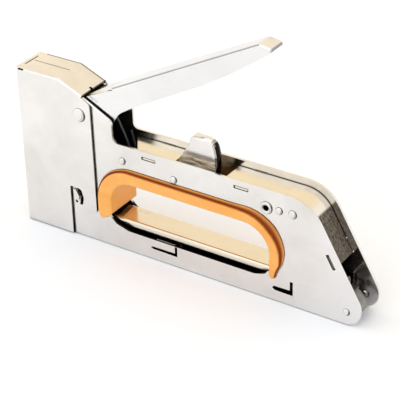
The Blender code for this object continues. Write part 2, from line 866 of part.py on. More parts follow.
def lever_outline():
    """The lever from the side: nose arm, cheeks round the pivot, and the long tapering handle."""
    nose_s, nose_z = LEVER_NOSE
    low = nose_z - LEVER_NOSE_RADIUS
    high = nose_z + LEVER_NOSE_RADIUS
    return rounded(
        [
            (nose_s - LEVER_NOSE_RADIUS, low, LEVER_NOSE_RADIUS * 0.98),
            (30.0, low, 20.0),
            (46.5, 58.9, 14.0),
            (50.4, 62.4, 5.0),
            (54.6, 68.9, 9.0),
            (64.7, 75.5, 12.0),
            (98.0, 93.6, 30.0),
            (112.0, 102.4, 40.0),
            (128.7, 114.3, 0.8),
            (133.6, 118.0, 1.2),
            (126.0, lever_top(126.0), 5.0),
            (51.0, lever_top(51.0)),
            (LEVER_WEB_START, 71.3, 2.0),
            (25.5, 62.9, 8.0),
            (nose_s + 2.5, high),
            (nose_s - LEVER_NOSE_RADIUS, high, LEVER_NOSE_RADIUS * 0.98),
        ],
        steps=4,
    )


def lever_hollow_outline():
    """The inside of the lever's channel, open below and ahead of the pivot."""
    drop = LEVER_SHEET * math.hypot(1.0, LEVER_SLOPE)
    return rounded(
        [
            (LEVER_WEB_START, 40.0),
            (LEVER_WEB_START - 30.0, 40.0),
            (LEVER_WEB_START - 30.0, 90.0),
            (LEVER_WEB_START, 90.0),
            (LEVER_WEB_START, lever_top(LEVER_WEB_START) - drop),
            (126.1, lever_top(126.1) - drop, 3.6),
            (130.7, 117.3, 0.5),
            (128.0, 115.3),
            (128.0, 60.0),
            (60.0, 40.0),
        ],
        steps=4,
    )


def taper(obj, inset):
    """Pulls the sides of a full-width solid in to the lever's width, less an inset."""
    matrix = obj.matrix_basis
    inverse = matrix.inverted()
    for vertex in obj.data.vertices:
        position = matrix @ vertex.co
        half = lever_half_width(position.x / MM + LENGTH / 2) - inset
        position.y = math.copysign(half * MM, position.y)
        vertex.co = inverse @ position


def lever_top(s):
    """The height of the straight top of the lever at s."""
    return LEVER_TOP_POINT[1] + LEVER_SLOPE * (s - LEVER_TOP_POINT[0])


def on_lever_bend(s, _y, z):
    return s > LEVER_WEB_START - 0.5 and (z > lever_top(s) - 0.05 or (s > 124.0 and z > 116.6))


def on_lever_hollow_bend(s, _y, z):
    return s > LEVER_WEB_START + 1.0 and z > lever_top(s) - 4.5 and z > 72.0


def lever():
    """The pressed-steel lever: a channel open below, with two cheeks that carry the pivot."""
    body = side_solid("lever", [lever_outline()], -1.0, 1.0)
    taper(body, 0.0)
    round_edges(body, 1.5, on_lever_bend, segments=3)
    inside = side_solid("lever_hollow", [lever_hollow_outline()], -1.0, 1.0)
    taper(inside, LEVER_SHEET)
    cut(body, inside)
    cut(body, pivot_drill("lever_pivot_hole", PIVOT, PIVOT_SHAFT + 0.08, 12.0))
    return finish(body, plated_steel("lever"))


def lever_spacer_tube():
    """The tube on the pivot that keeps the lever's cheeks apart."""
    half = lever_half_width(PIVOT[0]) - LEVER_SHEET - CLEARANCE
    ring = [(3.4, half), (3.4, -half), (PIVOT_SHAFT + 0.15, -half), (PIVOT_SHAFT + 0.15, half)]
    tube = turned("lever_spacer_tube", ring, (PIVOT[0], 0.0, PIVOT[1]), closed_profile=True)
    return finish(tube, plated_steel("lever_spacer_tube"))


def handle_latch_outline():
    return rounded(
        [
            (80.6, 44.6, 3.0),
            (82.2, 41.4, 2.6),
            (88.6, 41.4, 2.6),
            (101.6, 47.0, 1.2),
            (103.5, 58.0, 9.0),
            (102.0, 65.6, 5.0),
            (96.2, 66.6, 9.0),
            (89.6, 65.6, 1.6),
            (89.2, 61.8, 5.0),
            (83.6, 53.4, 6.0),
        ],
        steps=4,
    )


def handle_latch_hollow_outline():
    """The inside of the latch, open below and ahead."""
    return rounded(
        [
            (78.0, 38.0),
            (99.6, 38.0),
            (102.3, 58.0, 8.0),
            (101.0, 64.6, 4.2),
            (96.2, 65.6, 8.0),
            (88.0, 64.5),
            (78.0, 64.0),
        ],
        steps=4,
    )


def on_latch_bend(s, _y, z):
    return (s > 90.4 and z > 62.0) or (s > 101.9 and z > 49.0)


def handle_latch():
    """The folded catch in the top of the body that hooks the lever down for storage."""
    latch = side_solid("handle_latch", [handle_latch_outline()], -LATCH_HALF, LATCH_HALF)
    round_edges(latch, LATCH_BEND, on_latch_bend, segments=4)
    inner = LATCH_HALF - LATCH_SHEET
    cut(latch, side_solid("handle_latch_hollow", [handle_latch_hollow_outline()], -inner, inner))
    cut(latch, pivot_drill("handle_latch_hole", LATCH_PIVOT, BODY_SHAFT + PIN_PLAY, 12.0))
    return finish(latch, plated_steel("handle_latch"))


def plunger():
    """The sleeve that carries the driver blade. Its side ears rest over the lever's nose."""
    sleeve = block(
        "plunger",
        (PLUNGER_FRONT, -PLUNGER_HALF, PLUNGER_FLOOR),
        (PLUNGER_REAR, PLUNGER_HALF, PLUNGER_TOP),
    )
    ears = block(
        "plunger_ears",
        (LEVER_NOSE[0] - 3.0, -(LEVER_HALF_AT_NOSE - 0.1), PLUNGER_TOP - 2.4),
        (LEVER_NOSE[0] + 3.0, LEVER_HALF_AT_NOSE - 0.1, PLUNGER_TOP),
    )
    cut(sleeve, ears, "UNION")
    well = block(
        "plunger_well",
        (PLUNGER_FRONT + PLUNGER_WALL, -(PLUNGER_HALF - PLUNGER_WALL), PLUNGER_FLOOR + PLUNGER_WALL),
        (PLUNGER_REAR - PLUNGER_WALL, PLUNGER_HALF - PLUNGER_WALL, PLUNGER_TOP + 5.0),
    )
    cut(sleeve, well)
    return finish(sleeve, dark_steel("plunger"))


def driver_blade():
    """The thin hardened blade that drives one staple out of the nose."""
    blade = block("driver_blade", (2.35, -5.2, 2.8), (3.05, 5.2, 58.0))
    return finish(blade, spring_steel("driver_blade"))


def helix(centre, axis, start, length, turns, radius, steps):
    """Points of a coil in metres. The axis is "s", "y" or "z" and centre gives the other two."""
    points = []
    for step in range(turns * steps + 1):
        angle = 2 * math.pi * step / steps
        along = start + length * step / (turns * steps)
        across = (centre[0] + radius * math.cos(angle), centre[1] + radius * math.sin(angle))
        if axis == "z":
            points.append(place(across[0], across[1], along))
        elif axis == "s":
            points.append(place(along, across[0], across[1]))
        else:
            points.append(place(across[0], along, across[1]))
    return points


def main_spring():
    """The strong coil that throws the plunger down."""
    low = PLUNGER_FLOOR + PLUNGER_WALL + 1.1
    coil = helix((SPRING_AXIS, 0.0), "z", low, 75.6 - low, 10, 3.0, 9)
    return finish(wire("main_spring", coil, 0.65), spring_steel("main_spring"))


def spring_guide():
    """The cap under the top of the head, with the pin that keeps the main spring straight."""
    profile = [
        (0.0, 78.4),
        (5.0, 78.4),
        (5.2, 78.2),
        (5.2, 76.7),
        (1.8, 76.7),
        (1.8, 41.0),
        (1.3, 40.2),
        (0.0, 40.2),
    ]
    guide = turned("spring_guide", profile, (SPRING_AXIS, 0.0, 0.0))
    guide.rotation_euler = (0.0, 0.0, 0.0)
    return finish(guide, dark_steel("spring_guide"))


def plunger_bumper():
    """The rubber block that stops the plunger above the magazine."""
    bumper = block("plunger_bumper", (4.6, -5.0, MAGAZINE_TOP + CLEARANCE), (15.4, 5.0, 21.6))
    bevel = bumper.modifiers.new("soft_edges", "BEVEL")
    bevel.width = 0.6 * MM
    bevel.segments = 2
    return finish(bumper, black_rubber("plunger_bumper"))


def nose_plate():
    """The hardened plate behind the front of the head that the driver blade slides against."""
    plate = block("nose_plate", (1.1, -7.2, 0.2), (2.0, 7.2, 24.0))
    return finish(plate, dark_steel("nose_plate"))


def lever_return_spring():
    """The torsion spring round the front rivet: one leg lifts the lever, the other rests on the bridge."""
    near = -4.0
    far = near + RETURN_TURNS * RETURN_PITCH
    coil = helix(SPRING_RIVET, "y", near, far - near, RETURN_TURNS, RETURN_RADIUS, 9)
    lifting = [place(46.6, near, 76.0), place(55.7, near, 57.6), place(58.6, near, 49.6)]
    resting = [place(58.3, far, 49.6), place(57.0, far, 56.0), place(56.4, far, 58.4)]
    spring = wire("lever_return_spring", lifting + coil + resting, 0.5)
    return finish(spring, spring_steel("lever_return_spring"))


# ---------------------------------------------------------------- magazine


def staple_rail():
    """The base of the magazine: a flat foot with the two walls that the staples sit astride."""
    wall_out = 4.3
    wall_in = 3.5
    foot = PLATE_INSIDE - CLEARANCE
    sheet = 0.9
    wall = [(wall_out, sheet), (wall_out, RAIL_TOP), (wall_in, RAIL_TOP), (wall_in, sheet)]
    half = [(foot, 0.0), (foot, sheet)] + wall
    section = half + [(-y, z) for y, z in half[::-1]]
    rail = long_solid("staple_rail", [section], MAGAZINE_FRONT, MAGAZINE_REAR + 1.0)
    return finish(rail, dark_steel("staple_rail"))


def magazine_cover():
    """The inverted channel over the staples, seen through the finger opening."""
    low = 1.3
    outer = rounded(
        [
            (-MAGAZINE_HALF, low),
            (-MAGAZINE_HALF, MAGAZINE_TOP, 1.2),
            (MAGAZINE_HALF, MAGAZINE_TOP, 1.2),
            (MAGAZINE_HALF, low),
        ],
        steps=3,
    )
    half = MAGAZINE_HALF - MAGAZINE_SHEET
    roof = MAGAZINE_TOP - MAGAZINE_SHEET
    inner = rounded([(half, low), (half, roof, 0.5), (-half, roof, 0.5), (-half, low)], steps=2)
    cover = long_solid("magazine_cover", [outer + inner], MAGAZINE_FRONT, MAGAZINE_REAR)
    return finish(cover, plated_steel("magazine_cover"))


def staple_section(low, top, outer, inner, crown):
    half = [(outer, low), (outer, top), (-outer, top), (-outer, low)]
    return half + [(-inner, low), (-inner, top - crown), (inner, top - crown), (inner, low)]


def staple_strip():
    """A strip of fine-wire staples glued side by side."""
    section = staple_section(5.6, 13.55, 5.2, 4.6, 0.65)
    strip = long_solid("staple_strip", [section], MAGAZINE_FRONT + 0.3, STAPLE_REAR)
    return finish(strip, spring_steel("staple_strip"))


def pusher():
    """The slider behind the staples, with a block that the rod runs through."""
    section = staple_section(4.0, 13.5, 5.2, 4.6, 0.6)
    shoe = long_solid("pusher", [section], PUSHER_FRONT, PUSHER_REAR)
    core = long_solid("pusher_core", [pusher_core_section()], PUSHER_FRONT, PUSHER_REAR - 3.0)
    cut(shoe, core, "UNION")
    return finish(shoe, dark_steel("pusher"))


def pusher_core_section():
    """The block between the rail's walls. The rod lies in a groove that is open below."""
    half = 3.1
    groove = ROD_RADIUS + CLEARANCE
    return [
        (-half, 3.4),
        (-half, 13.2),
        (half, 13.2),
        (half, 3.4),
        (groove, 3.4),
        (groove, ROD_HEIGHT + groove),
        (-groove, ROD_HEIGHT + groove),
        (-groove, 3.4),
    ]


def pusher_rod():
    """The rod that guides the pusher and its spring along the magazine."""
    section = circle((0.0, ROD_HEIGHT), ROD_RADIUS, 12)
    rod = long_solid("pusher_rod", [section], 10.0, CATCH_FRONT - CLEARANCE)
    return finish(rod, spring_steel("pusher_rod"))


def pusher_spring():
    """The long weak coil on the rod that feeds the staples forward."""
    start = PUSHER_REAR - 3.0 + 0.9
    length = CATCH_FRONT - 0.9 - start
    coil = helix((0.0, ROD_HEIGHT), "s", start, length, 15, 2.2, 8)
    return finish(wire("pusher_spring", coil, 0.4), spring_steel("pusher_spring"))


def end_catch():
    """The sheet catch at the tail: it holds the rod's end and is pulled out to load staples."""
    path = rounded(
        [
            (CATCH_FRONT, 3.0),
            (CATCH_FRONT, 11.6, 1.2),
            (171.0, 11.6, 3.0),
            (176.4, 5.6),
        ],
        closed=False,
        steps=4,
    )
    catch = side_solid("end_catch", [ribbon(path, 1.0)], -3.1, 3.1)
    wings = block("end_catch_wings", (166.4, -5.0, 10.6), (170.0, 5.0, 11.6))
    cut(catch, wings, "UNION")
    return finish(catch, dark_steel("end_catch"))


# ---------------------------------------------------------------- assembly

clear_scene()
PARTS = new_collection("staple_gun")
CUTTERS = new_collection("cutters")

side_plate("left_side_plate", -1)
side_plate("right_side_plate", 1)
head_cover()
finger_grip()
front_bridge()
rear_bridge()

lever_pivot_rivet()
body_rivet("return_spring_rivet", SPRING_RIVET)
body_rivet("latch_pivot_rivet", LATCH_PIVOT)
rear_tube_rivet()
body_rivet("rear_rivet_front", REAR_RIVETS[0])
body_rivet("rear_rivet_back", REAR_RIVETS[1], head_radius=2.0)
tail_stud("left_tail_stud", -1)
tail_stud("right_tail_stud", 1)

lever()
lever_spacer_tube()
handle_latch()
plunger()
driver_blade()
main_spring()
spring_guide()
plunger_bumper()
nose_plate()
lever_return_spring()

staple_rail()
magazine_cover()
staple_strip()
pusher()
pusher_rod()
pusher_spring()
end_catch()
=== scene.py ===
"""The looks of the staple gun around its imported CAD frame, seen from the photograph's side."""

import math

import bmesh
import bpy
from mathutils import Matrix, Vector


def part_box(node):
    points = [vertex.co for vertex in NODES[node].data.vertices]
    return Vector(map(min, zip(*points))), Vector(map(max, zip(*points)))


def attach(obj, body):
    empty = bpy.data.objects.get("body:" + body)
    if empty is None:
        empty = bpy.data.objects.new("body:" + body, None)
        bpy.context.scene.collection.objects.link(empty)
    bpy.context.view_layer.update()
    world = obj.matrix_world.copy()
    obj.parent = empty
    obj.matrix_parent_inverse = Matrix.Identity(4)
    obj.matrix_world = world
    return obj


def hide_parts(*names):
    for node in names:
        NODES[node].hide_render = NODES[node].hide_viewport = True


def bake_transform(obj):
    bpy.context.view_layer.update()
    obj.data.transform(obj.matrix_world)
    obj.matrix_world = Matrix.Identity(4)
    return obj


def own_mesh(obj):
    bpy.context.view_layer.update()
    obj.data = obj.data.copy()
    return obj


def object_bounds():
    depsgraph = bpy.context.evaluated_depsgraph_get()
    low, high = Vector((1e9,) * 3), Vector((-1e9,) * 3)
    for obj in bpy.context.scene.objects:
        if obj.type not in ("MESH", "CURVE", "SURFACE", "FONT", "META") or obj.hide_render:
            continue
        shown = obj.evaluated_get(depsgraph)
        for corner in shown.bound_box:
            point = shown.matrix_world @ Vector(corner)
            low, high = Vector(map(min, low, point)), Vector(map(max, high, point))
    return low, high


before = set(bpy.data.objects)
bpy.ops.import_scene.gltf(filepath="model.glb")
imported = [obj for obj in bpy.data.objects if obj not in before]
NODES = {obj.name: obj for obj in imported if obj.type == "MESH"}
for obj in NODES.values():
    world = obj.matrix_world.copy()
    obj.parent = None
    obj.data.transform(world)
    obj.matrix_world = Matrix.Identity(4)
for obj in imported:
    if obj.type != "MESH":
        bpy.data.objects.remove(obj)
CAD_BOX = [list(corner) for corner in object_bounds()]
MM = 0.001


def rgb(red, green, blue):
    return (red, green, blue, 1.0)


# The camera, from fitting the photograph's perspective: degrees, metres and millimetres of lens.
CAMERA_AZIMUTH = 33.974
CAMERA_ELEVATION = 30.851
CAMERA_ROLL = 1.547
CAMERA_PLACE = (0.34790, -0.51177, 0.40170)
CAMERA_LENS = 145.9

# The studio.
WORLD_STRENGTH = 1.16
ROOM = rgb(0.92, 0.91, 0.90)
WARM_PANEL = rgb(0.93, 0.815, 0.625)
PANEL_DIRECTION = (-0.25, 0.72, 0.60)
PANEL_EDGE = (0.66, 0.90)
FLOOR_HALF = 6.0
FLOOR_GAP = 0.0002
FLOOR_TONES = (rgb(0.925, 0.95, 0.985), rgb(0.94, 0.965, 1.0))

# The two springs.
COIL_TURNS = 10
COIL_WIRE = 0.65 * MM
RETURN_TURNS = 3
RETURN_PITCH = 0.00125
RETURN_WIRE = 0.5 * MM
LEG_SPACING = 0.8 * MM

# Directions on the tool.
UP = (0.0, 0.0, 1.0)
LEFT = (0.0, -1.0, 0.0)
RIGHT = (0.0, 1.0, 0.0)
TAILWARD = (1.0, 0.0, 0.0)
RIVET_LEE = (0.92, 0.0, -0.39)
LEVER_FOLD = (-0.31, -0.71, 0.64)

# Places on the tool between which a finish, painted shade and painted reflection fade, in metres. A pair
# that falls fades the other way.
FOOT_SHADE_FADE = (0.055, 0.0)
LIT_HEIGHT = (0.041, 0.047)
TAIL_START = (0.0745, 0.0760)
TAIL_FLOOR = (0.0126, 0.0118)
OPENING_SILL = (0.0145, 0.0155)
SILL_TAIL_END = (0.052, 0.054)
MAGAZINE_FOLD = (0.0118, 0.0122)
SLOPE_TOP = (0.0462, 0.0452)
LATCH_STREAKS_TOP = (0.0580, 0.0555)
LATCH_STREAKS_FOOT = (0.0440, 0.0460)
GRIP_VALLEY = (0.00925, 0.00972)

# How far a piece looks round for its neighbours before painted shade gathers.
CAVITY_REACH = 0.03
GRIP_SEAM_REACH = 0.0035

# Tones of the finishes, and of the painted shade and painted reflection.
DEEP_SHADE = rgb(0.012, 0.008, 0.008)
BLACK_SHADE = rgb(0.02, 0.012, 0.008)
CRACK_SHADE = rgb(0.05, 0.04, 0.035)
SCUFFED = rgb(0.52, 0.50, 0.47)
DARK_REFLECTION_TONES = (rgb(0.055, 0.046, 0.036), rgb(0.20, 0.165, 0.13))
REFLECTION_STREAK_TONES = (rgb(0.27, 0.20, 0.11), rgb(0.94, 0.84, 0.65))
PLATE_TONES = (rgb(0.87, 0.855, 0.84), rgb(0.745, 0.72, 0.695))
PLATE_ROUGHNESS = 0.16
STRIP_TONES = (rgb(0.88, 0.82, 0.71), rgb(0.80, 0.745, 0.635))
STRIP_ROUGHNESS = 0.13
LEVER_TONES = (rgb(0.86, 0.86, 0.865), rgb(0.79, 0.79, 0.80))
LEVER_ROUGHNESS = 0.15
ORANGE_TONES = (rgb(0.86, 0.37, 0.07), rgb(0.92, 0.45, 0.11))
ORANGE_RUBBED = rgb(0.94, 0.54, 0.18)
ORANGE_VALLEY_SHADE = rgb(0.20, 0.018, 0.001)
ORANGE_SEAM_SHADE = rgb(0.22, 0.03, 0.004)
ORANGE_DEEP_SHADE = rgb(0.012, 0.004, 0.0)
RUBBER_TONES = (rgb(0.02, 0.02, 0.02), rgb(0.06, 0.055, 0.05))

# Pieces by finish. Rivets and studs are known by their names, and the rest is bright plated sheet.
OILED_PIECES = ("plunger", "spring_guide", "nose_plate", "pusher", "end_catch")
WIRE_PIECES = (
    "driver_blade",
    "main_spring",
    "lever_return_spring",
    "staple_strip",
    "pusher_rod",
    "pusher_spring",
)


# ---------------------------------------------------------------- node helpers


def add_node(tree, kind, **settings):
    """A new shader node in the tree, with its settings."""
    made = tree.nodes.new("ShaderNode" + kind)
    for key, value in settings.items():
        setattr(made, key, value)
    return made


class Shader:
    """A material's node tree with short ways to add and link nodes."""

    def __init__(self, name):
        self.material = bpy.data.materials.new(name)
        self.material.use_nodes = True
        self.tree = self.material.node_tree
        self.surface = self.tree.nodes["Principled BSDF"]

    def node(self, kind, **settings):
        return add_node(self.tree, kind, **settings)

    def link(self, source, target):
        self.tree.links.new(source, target)

    def put(self, socket, value):
        """Links a node's output or sets a constant."""
        if isinstance(value, bpy.types.NodeSocket):
            self.link(value, socket)
        else:
            socket.default_value = value

    def place(self, scale=(1.0, 1.0, 1.0), turn=(0.0, 0.0, 0.0)):
        """Position on the object in metres, stretched by scale."""
        coordinates = self.node("TexCoord")
        mapping = self.node("Mapping")
        mapping.inputs["Scale"].default_value = scale
        mapping.inputs["Rotation"].default_value = turn
        self.link(coordinates.outputs["Object"], mapping.inputs["Vector"])
        return mapping.outputs["Vector"]

    def noise(self, where, scale, detail=3.0, roughness=0.5, distortion=0.0):
        made = self.node("TexNoise")
        made.inputs["Scale"].default_value = scale
        made.inputs["Detail"].default_value = detail
        made.inputs["Roughness"].default_value = roughness
        made.inputs["Distortion"].default_value = distortion
        self.link(where, made.inputs["Vector"])
        return made.outputs["Fac"]

    def remap(self, value, low, high, new_low=0.0, new_high=1.0):
        made = self.node("MapRange", clamp=True)
        for index, number in enumerate((low, high, new_low, new_high)):
            made.inputs[index + 1].default_value = number
        self.link(value, made.inputs[0])
        return made.outputs[0]

    def math(self, operation, first, second=None, third=None, clamp=False):
        made = self.node("Math", operation=operation, use_clamp=clamp)
        for socket, value in zip(made.inputs, (first, second, third)):
            if value is not None:
                self.put(socket, value)
        return made.outputs[0]

    def times(self, first, second):
        return self.math("MULTIPLY", first, second)

    def opposite(self, value):
        """1 minus the value."""
        return self.math("SUBTRACT", 1.0, value)

    def mix(self, amount, first, second):
        made = self.node("Mix", data_type="RGBA")
        self.put(made.inputs[0], amount)
        self.put(made.inputs[6], first)
        self.put(made.inputs[7], second)
        return made.outputs[2]

    def bump(self, height, distance, strength, normal=None):
        made = self.node("Bump")
        made.inputs["Strength"].default_value = strength
        made.inputs["Distance"].default_value = distance
        self.link(height, made.inputs["Height"])
        if normal is not None:
            self.link(normal, made.inputs["Normal"])
        return made.outputs["Normal"]

    def crevice(self, distance, low, high):
        """1 in the open, falling to 0 where other pieces close in within the distance."""
        made = self.node("AmbientOcclusion", samples=8)
        made.inputs["Distance"].default_value = distance
        return self.remap(made.outputs["AO"], low, high)

    def facing(self, axis, low, high):
        """1 on faces of the object turned along the axis, 0 on the others."""
        dot = self.node("VectorMath", operation="DOT_PRODUCT")
        self.link(self.node("TexCoord").outputs["Normal"], dot.inputs[0])
        dot.inputs[1].default_value = axis
        return self.remap(dot.outputs["Value"], low, high)

    def along(self, axis, low, high):
        """0 before low and 1 after high, measured on the object along the axis in metres."""
        split = self.node("SeparateXYZ")
        self.link(self.place(), split.inputs[0])
        return self.remap(split.outputs["XYZ".index(axis)], low, high)

    def outer_side(self):
        """1 on faces turned to the left or the right of the tool."""
        return self.math("MAXIMUM", self.facing(LEFT, 0.35, 0.6), self.facing(RIGHT, 0.35, 0.6))

    def inward_of(self, low, high):
        """1 nearer the tool's middle plane than low, falling to 0 at high."""
        split = self.node("SeparateXYZ")
        self.link(self.place(), split.inputs[0])
        return self.remap(self.math("ABSOLUTE", split.outputs["Y"]), low, high, 1.0, 0.0)

    def rounded_edges(self, radius):
        made = self.node("Bevel", samples=4)
        made.inputs["Radius"].default_value = radius
        return made.outputs["Normal"]


def darker(colour, share):
    """The colour with its channels scaled by the share."""
    return tuple(channel * share for channel in colour[:3]) + (1.0,)


# ---------------------------------------------------------------- plated sheet


def plating_tone(look, where, clouds, bright, dull):
    """Cloudy nickel: bright and dull patches, painted shade darkening towards the foot, and fine specks.
    """
    patches = look.noise(where, 17.0, 3.0, 0.5, 0.6)
    mottle = look.noise(where, 260.0, 3.0, 0.55)
    blend = look.math("MULTIPLY_ADD", patches, 0.5, look.times(clouds, 0.5))
    colour = look.mix(look.remap(blend, 0.41, 0.59), dull, bright)
    # Painted shade: the sheet darkens towards the foot.
    colour = look.mix(look.times(look.along("Z", *FOOT_SHADE_FADE), 0.5), colour, darker(dull, 0.95))
    return look.mix(look.times(look.remap(mottle, 0.35, 0.65), 0.16), colour, bright)


def open_to_light(look, cavity, lit_inside):
    """1 where the sheet stays unshaded, 0 deep between the pieces where painted shade gathers."""
    unshaded = look.crevice(CAVITY_REACH, *cavity)
    # Painted shade is kept off high up, and low at the tail.
    if lit_inside:
        unshaded = look.math("MAXIMUM", unshaded, look.along("Z", *LIT_HEIGHT))
        tail = look.times(look.along("X", *TAIL_START), look.along("Z", *TAIL_FLOOR))
        unshaded = look.math("MAXIMUM", unshaded, tail)
    return unshaded


def dark_reflection_over(look, where, colour, painted_dark_reflection):
    """Speckled dark steel tones painted over the plating where the mask is 1, as a painted dark
    reflection.
    """
    speckle = look.remap(look.noise(where, 900.0, 4.0, 0.65), 0.36, 0.66)
    return look.mix(painted_dark_reflection(look), colour, look.mix(speckle, *DARK_REFLECTION_TONES))


def reflection_streaks_over(look, colour, painted_reflection):
    """Painted reflection: beige and brown streaks in place of the metal's own shine where the mask is 1.
    """
    reflecting = painted_reflection(look)
    streaks = look.noise(look.place(scale=(1.0, 9.0, 9.0)), 150.0, 3.0, 0.55)
    streaks = look.mix(look.remap(streaks, 0.40, 0.60), *REFLECTION_STREAK_TONES)
    look.put(look.surface.inputs["Metallic"], look.math("MULTIPLY_ADD", reflecting, -0.85, 1.0))
    return look.mix(reflecting, colour, streaks)


def plated_sheet(
    name,
    tones,
    roughness,
    cavity=(0.10, 0.42),
    crack=0.0016,
    painted_shade=None,
    painted_dark_reflection=None,
    painted_reflection=None,
    lit_inside=False,
):
    """Nickel-plated sheet: rolled grain, cloudy plating, handling marks, and painted shade inside."""
    look = Shader(name)
    metal = look.surface
    metal.inputs["Metallic"].default_value = 1.0
    where = look.place()
    clouds = look.noise(where, 42.0, 5.0, 0.62, 0.35)
    grain = look.noise(look.place(scale=(1.0, 14.0, 14.0)), 190.0, 4.0, 0.6)
    scratched = look.place(scale=(1.0, 1.0, 22.0), turn=(0.0, 0.55, 0.0))
    scuffs = look.remap(look.noise(scratched, 95.0, 2.0, 0.5), 0.66, 0.74)

    bright, dull = tones
    colour = plating_tone(look, where, clouds, bright, dull)
    colour = look.mix(look.times(scuffs, 0.18), colour, SCUFFED)
    # Painted shade: thin dark lines where pieces meet closely.
    colour = look.mix(look.crevice(crack, 0.35, 0.88), CRACK_SHADE, colour)
    # Painted shade deep between the pieces.
    colour = look.mix(open_to_light(look, cavity, lit_inside), DEEP_SHADE, colour)
    # Painted shade in near black, where the piece's own mask is 1.
    if painted_shade:
        colour = look.mix(painted_shade(look), colour, BLACK_SHADE)
    # Painted dark reflection drawn as speckled steel, where the piece's own mask is 1.
    if painted_dark_reflection:
        colour = dark_reflection_over(look, where, colour, painted_dark_reflection)
    # Painted reflection streaks, where the piece's own mask is 1.
    if painted_reflection:
        colour = reflection_streaks_over(look, colour, painted_reflection)
    look.put(metal.inputs["Base Color"], colour)

    rough = look.math("MULTIPLY_ADD", clouds, 0.10, roughness - 0.05)
    rough = look.math("MULTIPLY_ADD", grain, 0.08, rough)
    rough = look.math("MULTIPLY_ADD", scuffs, 0.08, rough, clamp=True)
    look.put(metal.inputs["Roughness"], rough)
    height = look.math("MULTIPLY_ADD", clouds, 0.7, look.times(grain, 0.12))
    look.put(metal.inputs["Normal"], look.bump(height, 0.22 * MM, 0.35, look.rounded_edges(0.22 * MM)))
    return look.material


def opening_sill_shade(look):
    """Painted shade, near black, on the cut edge of the plates along the floor of the finger opening."""
    low = look.opposite(look.along("Z", *OPENING_SILL))
    ahead = look.opposite(look.along("X", *SILL_TAIL_END))
    return look.times(look.times(look.facing(UP, 0.4, 0.6), low), ahead)


def side_wall_shade(look):
    """Painted shade, near black, on the walls of the magazine cover, below its bright folded edge."""
    return look.times(look.outer_side(), look.opposite(look.along("Z", *MAGAZINE_FOLD)))


def slope_dark_reflection(look):
    """Painted dark reflection, drawn as speckled dark steel, on the bridge where it runs down the sloping
    rear.
    """
    return look.along("Z", *SLOPE_TOP)


def rivet_rim_shade(look):
    """Painted shade on the tail side of each rivet's rounded head."""
    return look.times(look.facing(RIVET_LEE, 0.10, 0.55), 0.9)


def lever_fold_and_tail_shade(look):
    """Painted shade: a dim line along the lever's left fold, and darker faces where it turns down at the
    tail.
    """
    fold = look.times(look.facing(LEVER_FOLD, 0.955, 0.99), 0.5)
    tail = look.times(look.facing(TAILWARD, 0.55, 0.95), 0.7)
    return look.math("MAXIMUM", fold, tail)


def latch_tail_shade(look):
    """Painted shade on the latch's tail edge."""
    return look.facing(TAILWARD, 0.35, 0.75)


def latch_reflection_streaks(look):
    """Painted reflection: streaks on the latch where it passes between the plates."""
    between = look.times(look.along("Z", *LATCH_STREAKS_TOP), look.along("Z", *LATCH_STREAKS_FOOT))
    return look.times(between, look.opposite(latch_tail_shade(look)))


def cover_cut_edge_shade(look):
    """Painted shade on the raw edges where the cover's sheet ends towards the lever."""
    return look.times(look.facing(TAILWARD, 0.75, 0.95), 0.8)


# ---------------------------------------------------------------- other materials


def plain_steel(name, colour, roughness):
    """Bare oiled steel with dark blotches and drawing lines."""
    look = Shader(name)
    metal = look.surface
    blotch = look.noise(look.place(), 120.0, 4.0, 0.6)
    lines = look.noise(look.place(scale=(1.0, 1.0, 18.0)), 300.0, 3.0, 0.6)
    tone = look.mix(look.remap(blotch, 0.35, 0.65), darker(colour, 0.55), colour)
    look.put(metal.inputs["Base Color"], tone)
    rough = look.math("MULTIPLY_ADD", blotch, 0.2, roughness - 0.1)
    look.put(metal.inputs["Roughness"], look.math("MULTIPLY_ADD", lines, 0.1, rough, clamp=True))
    metal.inputs["Metallic"].default_value = 1.0
    look.put(metal.inputs["Normal"], look.bump(lines, 0.08 * MM, 0.4, look.rounded_edges(0.15 * MM)))
    return look.material


def moulded_plastic(name):
    """Orange moulded plastic: fine spark-eroded texture, flow streaks, rubbed edges, and painted shade in
    the rim's groove and where other pieces close in.
    """
    look = Shader(name)
    body = look.surface
    where = look.place()
    flow = look.noise(look.place(scale=(1.0, 1.0, 3.0)), 55.0, 4.0, 0.55, 0.4)
    pits = look.noise(where, 2600.0, 2.0, 0.5)
    rub = look.noise(where, 160.0, 3.0, 0.6)
    colour = look.mix(look.remap(flow, 0.3, 0.7), *ORANGE_TONES)
    colour = look.mix(look.remap(rub, 0.55, 0.75, 0.0, 0.35), colour, ORANGE_RUBBED)
    # Painted shade in the groove beside the grip's rim, which also loses some sheen.
    valley = look.times(look.outer_side(), look.inward_of(*GRIP_VALLEY))
    colour = look.mix(look.times(valley, 0.92), colour, ORANGE_VALLEY_SHADE)
    # Painted shade where other pieces close in, close by and deep inside.
    colour = look.mix(look.crevice(GRIP_SEAM_REACH, 0.30, 0.85), ORANGE_SEAM_SHADE, colour)
    colour = look.mix(look.crevice(CAVITY_REACH, 0.05, 0.30), ORANGE_DEEP_SHADE, colour)
    look.put(body.inputs["Base Color"], colour)
    look.put(body.inputs["Roughness"], look.math("MULTIPLY_ADD", rub, 0.2, 0.30))
    look.put(body.inputs["Specular IOR Level"], look.math("MULTIPLY_ADD", valley, -0.35, 0.42))
    body.inputs["Subsurface Weight"].default_value = 0.08
    body.inputs["Subsurface Radius"].default_value = (0.002, 0.0008, 0.0003)
    body.inputs["Subsurface Scale"].default_value = 1.0
    look.put(body.inputs["Normal"], look.bump(pits, 0.03 * MM, 0.35, look.rounded_edges(0.25 * MM)))
    return look.material


